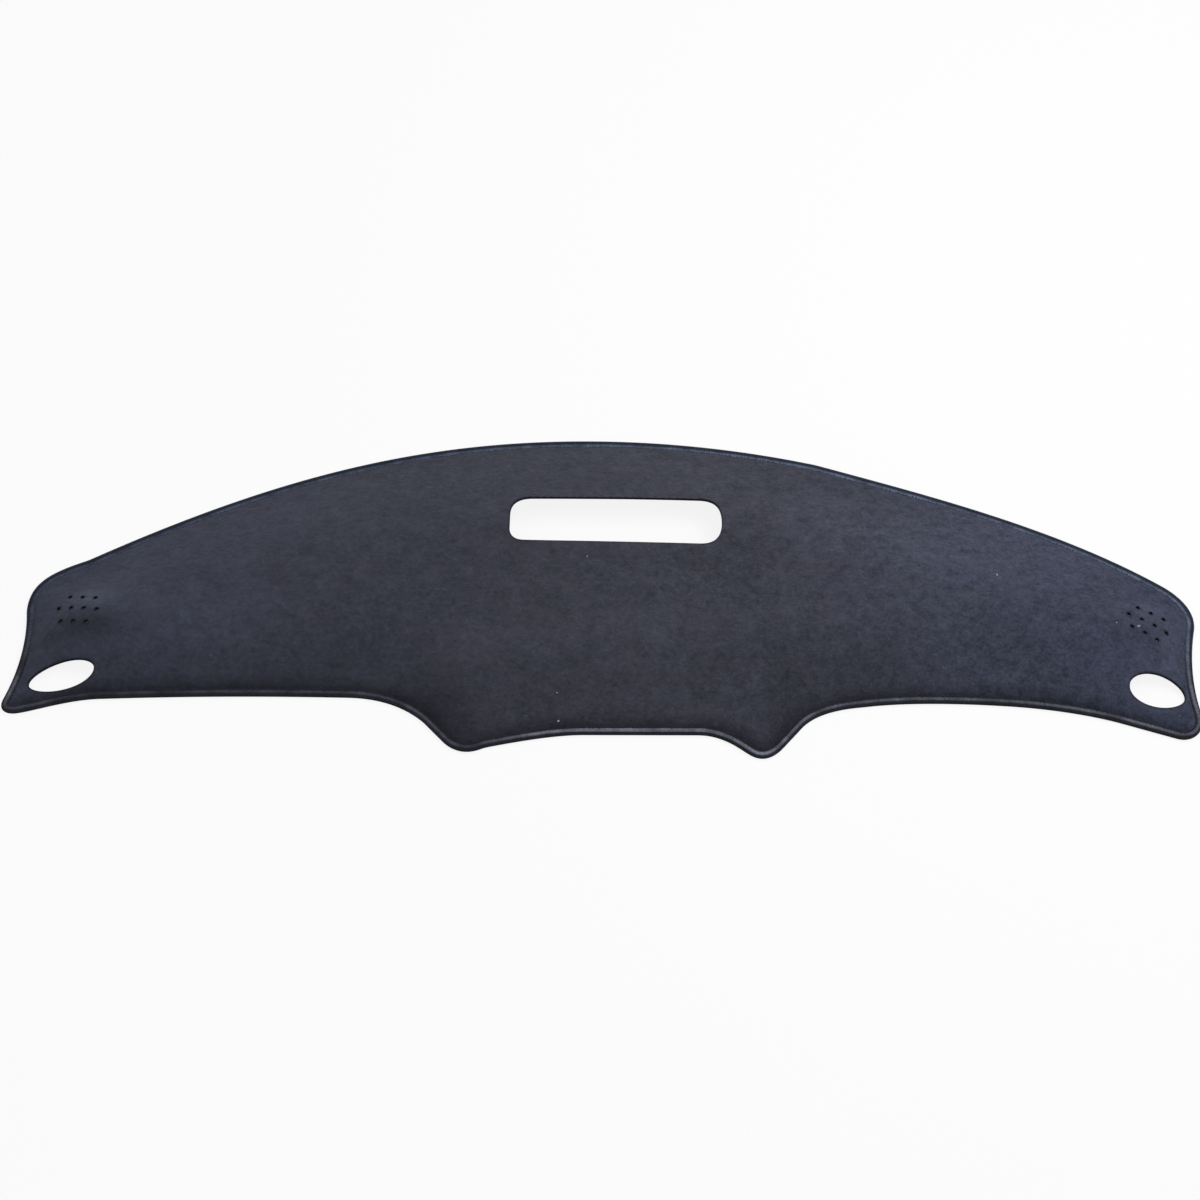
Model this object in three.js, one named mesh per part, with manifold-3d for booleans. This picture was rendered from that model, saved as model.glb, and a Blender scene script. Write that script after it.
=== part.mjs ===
// Dashboard cover mat: one moulded felt sheet, cut open for a vent, two round outlets and two
// groups of speaker holes, with a sewn yarn edging wrapped round its outer rim.
// Millimetres. +X runs along the mat's width, -Y points to its front edge and +Z is up. The
// origin is the middle of the footprint, on the surface that the mat lies on.
import * as THREE from "three";
import { mergeVertices } from "three/addons/utils/BufferGeometryUtils.js";
import Module from "manifold-3d";

const wasm = await Module();
wasm.setup();

// Reach of the outline from the origin
const leftReach = 708.5;
const rightReach = 708;
const backReach = 219;
const lobeReach = 219;
const leftStripReach = 151;
const rightStripReach = 142.5;
const middleFrontReach = 193;
const hornReach = 181;
const leftLobeX = -161;
const rightLobeX = 186;
const crownX = 0;

// Moulded form of the sheet
const sheetThickness = 4.5;
const crownRise = 40;
const backSlope = 150;
const frontSlope = 110;
const endSlope = 120;
const rimFirmness = 0.8;

// Sewn edging
const yarnThickness = 1;
const stitchBite = 8;
const seamClearance = 0.3;
const yarnRound = 0.9;

// Vent slot
const slotLength = 257.5;
const slotWidth = 67;
const slotX = 8.5;
const slotFromBack = 139;
const slotTilt = 0.4;
const slotSpread = 3;
const slotLeftBackRound = 27;
const slotLeftFrontRound = 18;
const slotRightRound = 27;

// Round outlets in the two ends: inset is along X from the end's reach, rise is along Y from
// the front strip
const leftOutlet = { length: 79, width: 32, tilt: 15.5, inset: 67.5, rise: 15.5 };
const rightOutlet = { length: 68, width: 39, tilt: -8, inset: 57, rise: 18 };

// Speaker holes: rows of three, four and three, on a low mound
const holeDiameter = 4.5;
const holePitch = 16.5;
const holeRowPitch = 18;
const leftHoles = { inset: 79.5, rise: 96, tilt: -9 };
const rightHoles = { inset: 62, rise: 103.5, tilt: -22 };
const moundRise = 5;
const moundRadius = 34;

// Fineness of the faces
const longestStep = 27;
const largestTurn = THREE.MathUtils.degToRad(15);
const easedStep = 4;
const ringCount = 6;
const roundSteps = 12;
const holeSides = 8;

const v2 = (x, y) => new THREE.Vector2(x, y);

// Outer outline, counter-clockwise from the tip of the left horn. Each named run is one side of
// the mat.
function outlineRuns() {
  const front = new THREE.Path();
  const left = -leftReach;
  const right = rightReach;
  const strip = -leftStripReach;
  const farStrip = -rightStripReach;
  const middle = -middleFrontReach;
  const lobe = -lobeReach;
  front.moveTo(left + 16, -hornReach - 0.5);
  front.bezierCurveTo(left + 35, -hornReach + 1.5, left + 78, strip - 9.5, left + 118.5, strip - 8.5);
  front.quadraticCurveTo(left + 258, strip, left + 402.5, strip);
  front.quadraticCurveTo(leftLobeX - 89, strip + 1, leftLobeX - 52, strip - 30);
  front.lineTo(leftLobeX - 25, lobe + 10.5);
  front.quadraticCurveTo(leftLobeX - 4, lobe - 6.5, leftLobeX + 21, lobe + 6.5);
  front.quadraticCurveTo(leftLobeX + 96.5, middle - 1, leftLobeX + 135.5, middle);
  front.lineTo(rightLobeX - 75.5, middle + 3);
  front.quadraticCurveTo(rightLobeX - 53.5, middle + 3.5, rightLobeX - 30.5, lobe + 14.5);
  front.lineTo(rightLobeX - 17.5, lobe + 5.5);
  front.quadraticCurveTo(rightLobeX + 2.5, lobe - 8, rightLobeX + 22, lobe + 13.5);
  front.lineTo(rightLobeX + 47, farStrip - 33.5);
  front.quadraticCurveTo(rightLobeX + 68, farStrip - 11.5, rightLobeX + 119, farStrip - 6);
  front.quadraticCurveTo(rightLobeX + 178.5, farStrip + 3.5, right - 244.5, farStrip);
  front.quadraticCurveTo(right - 167.5, farStrip - 2.5, right - 107, farStrip - 18);
  front.lineTo(right - 36.5, farStrip - 38.5);

  const rightEnd = new THREE.Path();
  rightEnd.moveTo(right - 36.5, farStrip - 38.5);
  rightEnd.bezierCurveTo(right - 19.5, farStrip - 43.5, right - 2.5, farStrip - 29.5, right - 4.5, farStrip - 9);
  rightEnd.quadraticCurveTo(right - 15.5, farStrip + 47, right, farStrip + 109);
  rightEnd.bezierCurveTo(right + 3.5, farStrip + 128.5, right - 6.5, farStrip + 148, right - 29.5, farStrip + 165);

  const back = new THREE.Path();
  back.moveTo(right - 29.5, farStrip + 165);
  back.bezierCurveTo(right - 154.5, backReach - 113.5, crownX + 393, backReach - 69, crownX + 259.5, backReach - 29);
  back.bezierCurveTo(crownX + 173, backReach - 9.5, crownX + 84, backReach, crownX, backReach);
  back.bezierCurveTo(crownX - 226.5, backReach, left + 298.5, backReach - 61, left + 75.5, strip + 179);

  const leftEnd = new THREE.Path();
  leftEnd.moveTo(left + 75.5, strip + 179);
  leftEnd.bezierCurveTo(left + 32.5, strip + 161, left + 8, strip + 145, left + 11, strip + 105);
  leftEnd.bezierCurveTo(left + 18, strip + 66.5, left + 13.5, strip + 21, left + 0.5, -hornReach + 15);
  leftEnd.bezierCurveTo(left - 2, -hornReach + 5.5, left + 3.5, -hornReach - 1.5, left + 16, -hornReach - 0.5);
  return { front, rightEnd, back, leftEnd };
}

// Points along a run, closer together where it turns, each with its outward normal. The last
// point belongs to the next run.
function stationsOf(run) {
  const stations = [];
  for (const curve of run.curves) {
    const turn = curve.getTangent(0).angleTo(curve.getTangent(1));
    const steps = Math.max(
      Math.ceil(curve.getLength() / longestStep),
      Math.ceil(turn / largestTurn),
    );
    for (let i = 0; i < steps; i++) {
      const tangent = curve.getTangentAt(i / steps);
      stations.push({ at: curve.getPointAt(i / steps), out: v2(tangent.y, -tangent.x) });
    }
  }
  return stations;
}

const runs = outlineRuns();
const rim = [runs.front, runs.rightEnd, runs.back, runs.leftEnd].flatMap(stationsOf);

const insetPoint = (station, distance) => station.at.clone().addScaledVector(station.out, -distance);

// Distance from a side with its corners eased: the fourth-power mean over the side's length,
// which is the plain distance beside a long straight run
function easedGap(run) {
  const length = run.getLength();
  const count = Math.ceil(length / easedStep);
  const marks = run.getSpacedPoints(count);
  return (point) => {
    let sum = 0;
    for (const mark of marks) sum += length / count / point.distanceToSquared(mark) ** 2;
    return Math.cbrt(Math.PI / 2 / sum);
  };
}

// Share of the rise at a distance from the flange, from 0 to 1 over the slope's length: partly
// eased at both ends, partly steepest at the flange
function riseShare(gap, slope) {
  const along = THREE.MathUtils.clamp(gap / slope, 0, 1);
  const eased = THREE.MathUtils.smoothstep(gap, 0, slope);
  return THREE.MathUtils.lerp(eased, along * (2 - along), rimFirmness);
}

// Underside height of the sheet: flat in the sewn flange, rising by its own slope from each
// side, with a low mound round each group of speaker holes
const flangeWidth = stitchBite + 1;
const undersideAtRim = yarnThickness + seamClearance;
const flanks = [
  { gap: easedGap(runs.front), slope: frontSlope },
  { gap: easedGap(runs.rightEnd), slope: endSlope },
  { gap: easedGap(runs.back), slope: backSlope },
  { gap: easedGap(runs.leftEnd), slope: endSlope },
];
const leftHolesAt = v2(-leftReach + leftHoles.inset, -leftStripReach + leftHoles.rise);
const rightHolesAt = v2(rightReach - rightHoles.inset, -rightStripReach + rightHoles.rise);

function undersideAt(point) {
  let rise = crownRise;
  let moundShare = 1;
  for (const flank of flanks) {
    const gap = flank.gap(point) - flangeWidth;
    rise *= riseShare(gap, flank.slope);
    moundShare *= THREE.MathUtils.smoothstep(gap, 0, moundRadius);
  }
  for (const centre of [leftHolesAt, rightHolesAt]) {
    const away = point.distanceTo(centre) / moundRadius;
    rise += moundRise * moundShare * Math.exp(-away * away);
  }
  return undersideAtRim + rise;
}

// The sheet's middle line, which the rings of faces close in on
const spineEnd = 600;
const spineMiddle = (backReach - middleFrontReach) / 2;
const spineDrop = 70;
const ringShare = 0.85;
function spinePoint(x) {
  const along = THREE.MathUtils.clamp(x, -spineEnd, spineEnd);
  return v2(along, spineMiddle - spineDrop * (along / spineEnd) ** 2);
}

function sheetRings() {
  const rimInset = yarnThickness + seamClearance;
  const rings = [rim.map((station) => insetPoint(station, rimInset))];
  const flange = rim.map((station) => insetPoint(station, flangeWidth));
  rings.push(flange);
  for (let ring = 1; ring <= ringCount; ring++) {
    const share = (ringShare * ring) / ringCount;
    rings.push(flange.map((point) => point.clone().lerp(spinePoint(point.x), share)));
  }
  return rings;
}

// Closed solid between the sheet's underside and its top
function sheetBody() {
  const rings = sheetRings();
  const count = rim.length;
  const points = rings.flat();
  const lows = points.map(undersideAt);
  const positions = [];
  for (const rise of [0, sheetThickness]) {
    points.forEach((point, i) => positions.push(point.x, point.y, lows[i] + rise));
  }
  const flat = [];
  for (let ring = 0; ring + 1 < rings.length; ring++) {
    for (let i = 0; i < count; i++) {
      const a = ring * count + i;
      const b = ring * count + ((i + 1) % count);
      flat.push([a, b, b + count], [a, b + count, a + count]);
    }
  }
  const inner = (rings.length - 1) * count;
  for (const face of THREE.ShapeUtils.triangulateShape(rings.at(-1), [])) {
    flat.push(face.map((i) => inner + i));
  }
  const index = [];
  for (const [a, b, c] of flat) {
    index.push(a + points.length, b + points.length, c + points.length);
    index.push(c, b, a);
  }
  for (let i = 0; i < count; i++) {
    const next = (i + 1) % count;
    index.push(i, next, next + points.length, i, next + points.length, i + points.length);
  }
  const geometry = new THREE.BufferGeometry();
  geometry.setAttribute("position", new THREE.Float32BufferAttribute(positions, 3));
  return geometry.setIndex(index);
}

function solidOf(geometry) {
  const bare = geometry.clone();
  bare.deleteAttribute("normal");
  bare.deleteAttribute("uv");
  const merged = mergeVertices(bare, 1e-4);
  return new wasm.Manifold(
    new wasm.Mesh({
      numProp: 3,
      vertProperties: merged.attributes.position.array,
      triVerts: new Uint32Array(merged.index.array),
    }),
  );
}

function geometryOf(solid) {
  const mesh = solid.getMesh();
  const geometry = new THREE.BufferGeometry();
  geometry.setAttribute("position", new THREE.BufferAttribute(mesh.vertProperties, 3));
  geometry.setIndex(new THREE.BufferAttribute(mesh.triVerts, 1));
  const flat = geometry.toNonIndexed();
  flat.computeVertexNormals();
  return flat;
}

// A cutter that reaches through the sheet at any height
function cutter(shape, x, y, tilt) {
  const height = crownRise + moundRise + 4 * sheetThickness;
  const body = new THREE.ExtrudeGeometry(shape, {
    depth: height,
    bevelEnabled: false,
    curveSegments: roundSteps,
  });
  body.rotateZ(THREE.MathUtils.degToRad(tilt));
  return solidOf(body.translate(x, y, -sheetThickness));
}

// The vent slot, a little wider at its right end than at its left
function slotShape() {
  const shape = new THREE.Shape();
  const x = slotLength / 2;
  const left = (slotWidth - slotSpread / 2) / 2;
  const right = (slotWidth + slotSpread / 2) / 2;
  const corner = slotRightRound / 3;
  shape.moveTo(-x, -left + slotLeftFrontRound);
  shape.quadraticCurveTo(-x, -left, -x + slotLeftFrontRound, -left);
  shape.lineTo(x - slotRightRound, -right);
  shape.bezierCurveTo(x - corner, -right, x, -right + corner, x, 0);
  shape.bezierCurveTo(x, right - corner, x - corner, right, x - slotRightRound, right);
  shape.lineTo(-x + slotLeftBackRound, left);
  shape.quadraticCurveTo(-x, left, -x, left - slotLeftBackRound);
  shape.closePath();
  return shape;
}

function ovalShape({ length, width }) {
  const shape = new THREE.Shape();
  shape.absellipse(0, 0, length / 2, width / 2, 0, 2 * Math.PI);
  return shape;
}

function holeCutters(centre, tilt) {
  const shape = new THREE.Shape();
  for (let i = 0; i < holeSides; i++) {
    const angle = (2 * Math.PI * i) / holeSides;
    const point = v2(Math.cos(angle), Math.sin(angle)).multiplyScalar(holeDiameter / 2);
    if (i) shape.lineTo(point.x, point.y);
    else shape.moveTo(point.x, point.y);
  }
  const cutters = [];
  [3, 4, 3].forEach((count, row) => {
    for (let i = 0; i < count; i++) {
      const place = v2((i - (count - 1) / 2) * holePitch, (1 - row) * holeRowPitch);
      place.rotateAround(v2(0, 0), THREE.MathUtils.degToRad(tilt)).add(centre);
      cutters.push(cutter(shape, place.x, place.y, 0));
    }
  });
  return cutters;
}

function feltMat() {
  let body = solidOf(sheetBody());
  const leftX = -leftReach + leftOutlet.inset;
  const rightX = rightReach - rightOutlet.inset;
  const openings = [
    cutter(slotShape(), slotX, backReach - slotFromBack, slotTilt),
    cutter(ovalShape(leftOutlet), leftX, -leftStripReach + leftOutlet.rise, leftOutlet.tilt),
    cutter(ovalShape(rightOutlet), rightX, -rightStripReach + rightOutlet.rise, rightOutlet.tilt),
    ...holeCutters(leftHolesAt, leftHoles.tilt),
    ...holeCutters(rightHolesAt, rightHoles.tilt),
  ];
  for (const opening of openings) body = body.subtract(opening);
  return geometryOf(body);
}

// Section of the edging, as inset from the outline and height: a channel of yarn that holds the
// sheet's rim
function edgingSection() {
  const sheetTop = undersideAtRim + sheetThickness;
  const top = sheetTop + seamClearance + yarnThickness;
  return [
    [yarnRound, 0],
    [stitchBite, 0],
    [stitchBite, yarnThickness],
    [yarnThickness, yarnThickness],
    [yarnThickness, top - yarnThickness],
    [stitchBite, top - yarnThickness],
    [stitchBite, top - yarnThickness / 2],
    [stitchBite - yarnThickness / 2, top],
    [yarnRound, top],
    [0, top - yarnRound],
    [0, yarnRound],
  ];
}

function edging() {
  const section = edgingSection();
  const positions = [];
  const index = [];
  rim.forEach((station, i) => {
    for (const [inset, height] of section) {
      const point = insetPoint(station, inset);
      positions.push(point.x, point.y, height);
    }
    const here = i * section.length;
    const next = ((i + 1) % rim.length) * section.length;
    for (let k = 0; k < section.length; k++) {
      const up = (k + 1) % section.length;
      index.push(here + k, here + up, next + up, here + k, next + up, next + k);
    }
  });
  const geometry = new THREE.BufferGeometry();
  geometry.setAttribute("position", new THREE.Float32BufferAttribute(positions, 3));
  geometry.setIndex(index);
  const flat = geometry.toNonIndexed();
  flat.computeVertexNormals();
  return flat;
}

const felt = new THREE.MeshStandardMaterial({ color: 0x3c3e4a, roughness: 0.95, metalness: 0 });
const yarn = new THREE.MeshStandardMaterial({ color: 0x4a4b57, roughness: 0.85, metalness: 0 });

function named(name, geometry, material) {
  const mesh = new THREE.Mesh(geometry, material);
  mesh.name = name;
  return mesh;
}

const mat = new THREE.Group();
mat.add(named("felt_mat", feltMat(), felt), named("edge_stitching", edging(), yarn));

export default mat;
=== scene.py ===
"""Dashboard cover mat: one moulded felt sheet with a yarn edging sewn round its rim, in metres.

+X runs along the mat's width, -Y points to its front edge and +Z is up.
"""
import math

import bpy
import numpy as np
from mathutils import Matrix, Vector, noise
from mathutils.geometry import delaunay_2d_cdt


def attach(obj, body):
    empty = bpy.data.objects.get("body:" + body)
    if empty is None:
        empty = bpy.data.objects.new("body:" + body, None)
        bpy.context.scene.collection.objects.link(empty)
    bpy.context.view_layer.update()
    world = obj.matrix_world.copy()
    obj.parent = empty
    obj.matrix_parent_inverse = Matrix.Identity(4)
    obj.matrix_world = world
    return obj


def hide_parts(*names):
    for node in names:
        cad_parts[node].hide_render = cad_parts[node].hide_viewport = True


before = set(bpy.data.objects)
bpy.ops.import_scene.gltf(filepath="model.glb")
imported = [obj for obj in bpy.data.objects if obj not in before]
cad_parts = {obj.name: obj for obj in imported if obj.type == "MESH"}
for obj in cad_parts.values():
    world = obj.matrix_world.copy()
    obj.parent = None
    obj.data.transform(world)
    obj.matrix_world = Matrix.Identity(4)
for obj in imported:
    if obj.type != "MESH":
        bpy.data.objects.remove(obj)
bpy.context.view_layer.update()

# Reach of the outline from the origin
LEFT_REACH = 0.7085
RIGHT_REACH = 0.708
BACK_REACH = 0.219
LOBE_REACH = 0.219
LEFT_STRIP_REACH = 0.151
RIGHT_STRIP_REACH = 0.1425
MIDDLE_FRONT_REACH = 0.193
HORN_REACH = 0.181
LEFT_LOBE_X = -0.161
RIGHT_LOBE_X = 0.186

# Moulded form of the sheet
SHEET_THICKNESS = 0.0045
CROWN_RISE = 0.040
BACK_SLOPE = 0.150
FRONT_SLOPE = 0.110
END_SLOPE = 0.120
RIM_FIRMNESS = 0.8

# Sewn edging
YARN_THICKNESS = 0.001
STITCH_BITE = 0.008
SEAM_CLEARANCE = 0.0003
FLANGE_WIDTH = STITCH_BITE + YARN_THICKNESS
RIM_INSET = YARN_THICKNESS + SEAM_CLEARANCE
EDGING_HEIGHT = 2 * RIM_INSET + SHEET_THICKNESS

# Openings
SLOT_LENGTH = 0.2575
SLOT_WIDTH = 0.067
SLOT_SPREAD = 0.003
SLOT_AT = (0.0085, BACK_REACH - 0.139)
SLOT_TILT = math.radians(0.4)
SLOT_LEFT_BACK_ROUND = 0.027
SLOT_LEFT_FRONT_ROUND = 0.018
SLOT_RIGHT_ROUND = 0.027
LEFT_OUTLET = {
    "length": 0.079,
    "width": 0.032,
    "tilt": math.radians(15.5),
    "at": (-LEFT_REACH + 0.0675, -LEFT_STRIP_REACH + 0.0155),
}
RIGHT_OUTLET = {
    "length": 0.068,
    "width": 0.039,
    "tilt": math.radians(-8),
    "at": (RIGHT_REACH - 0.057, -RIGHT_STRIP_REACH + 0.018),
}
HOLE_DIAMETER = 0.0045
HOLE_PITCH = 0.0165
HOLE_ROW_PITCH = 0.018
HOLE_ROWS = (3, 4, 3)
LEFT_HOLES = {"at": (-LEFT_REACH + 0.0795, -LEFT_STRIP_REACH + 0.096), "tilt": math.radians(-9)}
RIGHT_HOLES = {"at": (RIGHT_REACH - 0.062, -RIGHT_STRIP_REACH + 0.1035), "tilt": math.radians(-22)}
MOUND_RISE = 0.005
MOUND_RADIUS = 0.034

# Fineness of the sheet's faces
RIM_STEP = 0.0032
GRID_STEP = 0.0044
CUT_ROUND = 0.0005

# Hand finish of the sheet
GROOVE_DEPTH = 0.0009
GROOVE_WIDTH = 0.0017
GROOVE_INSET = FLANGE_WIDTH + 0.0006
WAVE_RISE = 0.0007
WAVE_LENGTH = 0.085


# Scene helpers


def deselect_all():
    if bpy.context.mode != "OBJECT":
        bpy.ops.object.mode_set(mode="OBJECT")
    bpy.ops.object.select_all(action="DESELECT")


def select_only(piece):
    deselect_all()
    piece.select_set(True)
    bpy.context.view_layer.objects.active = piece


def apply_modifiers(piece):
    select_only(piece)
    for modifier in list(piece.modifiers):
        bpy.ops.object.modifier_apply(modifier=modifier.name)


def turn_faces_out(piece):
    select_only(piece)
    bpy.ops.object.mode_set(mode="EDIT")
    bpy.ops.mesh.select_all(action="SELECT")
    bpy.ops.mesh.normals_make_consistent(inside=False)
    bpy.ops.object.mode_set(mode="OBJECT")


def shade_smooth(piece):
    select_only(piece)
    bpy.ops.object.shade_smooth()


def link(name, data):
    piece = bpy.data.objects.new(name, data)
    bpy.context.scene.collection.objects.link(piece)
    return piece


def mesh_points(mesh):
    flat = np.empty(len(mesh.vertices) * 3, dtype=np.float32)
    mesh.vertices.foreach_get("co", flat)
    return flat.reshape(-1, 3).astype(float)


def set_mesh_points(mesh, points):
    mesh.vertices.foreach_set("co", points.astype(np.float32).ravel())
    mesh.update()


def mark_points(mesh, name, values):
    """Keeps one number for each point of a mesh, for a material to read."""
    marks = mesh.attributes.new(name, "FLOAT", "POINT")
    marks.data.foreach_set("value", np.asarray(values, dtype=np.float32))


# Outline


def bezier(points, count):
    """Points along a Bezier curve of any degree, without its last one."""
    points = np.array(points, dtype=float)
    t = np.arange(count) / count
    degree = len(points) - 1
    shares = [math.comb(degree, k) * t**k * (1 - t) ** (degree - k) for k in range(degree + 1)]
    return sum(np.outer(share, point) for share, point in zip(shares, points))


def outline_runs():
    """The mat's four sides, counter-clockwise from the tip of the left horn. Each side is a start and
    then, for each curve, its control points."""
    left, right = -LEFT_REACH, RIGHT_REACH
    strip, far_strip = -LEFT_STRIP_REACH, -RIGHT_STRIP_REACH
    middle, lobe, horn = -MIDDLE_FRONT_REACH, -LOBE_REACH, -HORN_REACH
    left_lobe, right_lobe, back = LEFT_LOBE_X, RIGHT_LOBE_X, BACK_REACH
    tip = (left + 0.016, horn - 0.0005)
    front = [
        [tip],
        [(left + 0.035, horn + 0.0015), (left + 0.078, strip - 0.0095), (left + 0.1185, strip - 0.0085)],
        [(left + 0.258, strip), (left + 0.4025, strip)],
        [(left_lobe - 0.089, strip + 0.001), (left_lobe - 0.052, strip - 0.030)],
        [(left_lobe - 0.025, lobe + 0.0105)],
        [(left_lobe - 0.004, lobe - 0.0065), (left_lobe + 0.021, lobe + 0.0065)],
        [(left_lobe + 0.0965, middle - 0.001), (left_lobe + 0.1355, middle)],
        [(right_lobe - 0.0755, middle + 0.003)],
        [(right_lobe - 0.0535, middle + 0.0035), (right_lobe - 0.0305, lobe + 0.0145)],
        [(right_lobe - 0.0175, lobe + 0.0055)],
        [(right_lobe + 0.0025, lobe - 0.008), (right_lobe + 0.022, lobe + 0.0135)],
        [(right_lobe + 0.047, far_strip - 0.0335)],
        [(right_lobe + 0.068, far_strip - 0.0115), (right_lobe + 0.119, far_strip - 0.006)],
        [(right_lobe + 0.1785, far_strip + 0.0035), (right - 0.2445, far_strip)],
        [(right - 0.1675, far_strip - 0.0025), (right - 0.107, far_strip - 0.018)],
        [(right - 0.0365, far_strip - 0.0385)],
    ]
    right_end = [
        [(right - 0.0365, far_strip - 0.0385)],
        [
            (right - 0.0195, far_strip - 0.0435),
            (right - 0.0025, far_strip - 0.0295),
            (right - 0.0045, far_strip - 0.009),
        ],
        [(right - 0.0155, far_strip + 0.047), (right, far_strip + 0.109)],
        [
            (right + 0.0035, far_strip + 0.1285),
            (right - 0.0065, far_strip + 0.148),
            (right - 0.0295, far_strip + 0.165),
        ],
    ]
    back_side = [
        [(right - 0.0295, far_strip + 0.165)],
        [(right - 0.1545, back - 0.1135), (0.393, back - 0.069), (0.2595, back - 0.029)],
        [(0.173, back - 0.0095), (0.084, back), (0.0, back)],
        [(-0.2265, back), (left + 0.2985, back - 0.061), (left + 0.0755, strip + 0.179)],
    ]
    left_end = [
        [(left + 0.0755, strip + 0.179)],
        [(left + 0.0325, strip + 0.161), (left + 0.008, strip + 0.145), (left + 0.011, strip + 0.105)],
        [(left + 0.018, strip + 0.0665), (left + 0.0135, strip + 0.021), (left + 0.0005, horn + 0.015)],
        [(left - 0.002, horn + 0.0055), (left + 0.0035, horn - 0.0015), tip],
    ]
    return [front, right_end, back_side, left_end]


def run_points(run, closed=False):
    """Dense points along one side, with its last point unless it closes."""
    start = run[0][0]
    rows = []
    for controls in run[1:]:
        rows.append(bezier([start, *controls], 240))
        start = controls[-1]
    if not closed:
        rows.append(np.array([start]))
    return np.vstack(rows)


def evenly(points, step, closed):
    """The same line with its points a step apart, or a little less."""
    line = np.vstack([points, points[:1]]) if closed else points
    lengths = np.linalg.norm(np.diff(line, axis=0), axis=1)
    along = np.concatenate([[0], np.cumsum(lengths)])
    count = math.ceil(along[-1] / step)
    places = np.linspace(0, along[-1], count + 1)
    if closed:
        places = places[:-1]
    return np.stack([np.interp(places, along, line[:, k]) for k in range(2)], axis=1)


def eased(points, reach):
    """A closed line with its small kinks smoothed over a few points each way."""
    weights = np.hanning(2 * reach + 3)[1:-1]
    weights /= weights.sum()
    return sum(w * np.roll(points, k - reach, axis=0) for k, w in enumerate(weights))


def outward(points):
    """Unit normals of a closed counter-clockwise line."""
    along = np.roll(points, -1, axis=0) - np.roll(points, 1, axis=0)
    normal = np.stack([along[:, 1], -along[:, 0]], axis=1)
    return normal / np.linalg.norm(normal, axis=1)[:, None]


def inset_loop(loop, distance):
    return loop - outward(loop) * distance


RUNS = outline_runs()
OUTLINE = eased(evenly(np.vstack([run_points(run, closed=True) for run in RUNS]), RIM_STEP / 2, True), 3)
RIM_LOOP = evenly(OUTLINE, RIM_STEP, True)


# Form of the sheet

EASED_STEP = 0.004
FLANKS = [
    (evenly(run_points(run), EASED_STEP, False), slope)
    for run, slope in zip(RUNS, (FRONT_SLOPE, END_SLOPE, BACK_SLOPE, END_SLOPE))
]


def smoothstep(value, width):
    share = np.clip(value / width, 0, 1)
    return share * share * (3 - 2 * share)


def rise_share(gap, slope):
    """Share of the rise at a distance from the flange: partly eased at both ends of the slope, partly
    steepest at the flange."""
    along = np.clip(gap / slope, 0, 1)
    return (1 - RIM_FIRMNESS) * smoothstep(gap, slope) + RIM_FIRMNESS * along * (2 - along)


def nearest(points, line):
    """Distance from each point to the nearest mark on a line."""
    best = np.full(len(points), np.inf)
    for start in range(0, len(line), 64):
        part = line[start : start + 64]
        gaps = np.linalg.norm(points[:, None, :] - part[None, :, :], axis=2).min(axis=1)
        best = np.minimum(best, gaps)
    return best


def eased_gap(points, marks):
    """Distance from a side with its corners eased: the fourth-power mean over the side's length."""
    spacing = np.linalg.norm(np.diff(marks, axis=0), axis=1).mean()
    total = np.zeros(len(points))
    for mark in marks:
        squared = ((points - mark) ** 2).sum(axis=1)
        total += spacing / np.maximum(squared, 1e-12) ** 2
    return np.cbrt(math.pi / 2 / total)


def underside_at(points):
    """Height of the sheet's underside: flat in the sewn flange, then rising from each side, with a
    low mound round each group of speaker holes."""
    rise = np.full(len(points), CROWN_RISE)
    mound_share = np.ones(len(points))
    for marks, slope in FLANKS:
        gap = eased_gap(points, marks) - FLANGE_WIDTH
        rise *= rise_share(gap, slope)
        mound_share *= smoothstep(gap, MOUND_RADIUS)
    for holes in (LEFT_HOLES, RIGHT_HOLES):
        away = np.linalg.norm(points - np.array(holes["at"]), axis=1) / MOUND_RADIUS
        rise += MOUND_RISE * mound_share * np.exp(-(away**2))
    return RIM_INSET + rise


def soft_waves(points, inset):
    """The slight unevenness of felt that has been folded and laid out again."""
    waves = np.array(
        [noise.fractal((x / WAVE_LENGTH / 1.7, y / WAVE_LENGTH, 3.1), 0.8, 2.0, 2) for x, y in points]
    )
    return WAVE_RISE * waves * smoothstep(inset - FLANGE_WIDTH, 0.05)


def groove_at(inset):
    """How far the seam pulls the sheet's top down beside the edging."""
    return GROOVE_DEPTH * np.exp(-(((inset - GROOVE_INSET) / GROOVE_WIDTH) ** 2))


# Openings


def turned(points, tilt, at):
    cos, sin = math.cos(tilt), math.sin(tilt)
    return points @ np.array([[cos, sin], [-sin, cos]]) + np.array(at)


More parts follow.
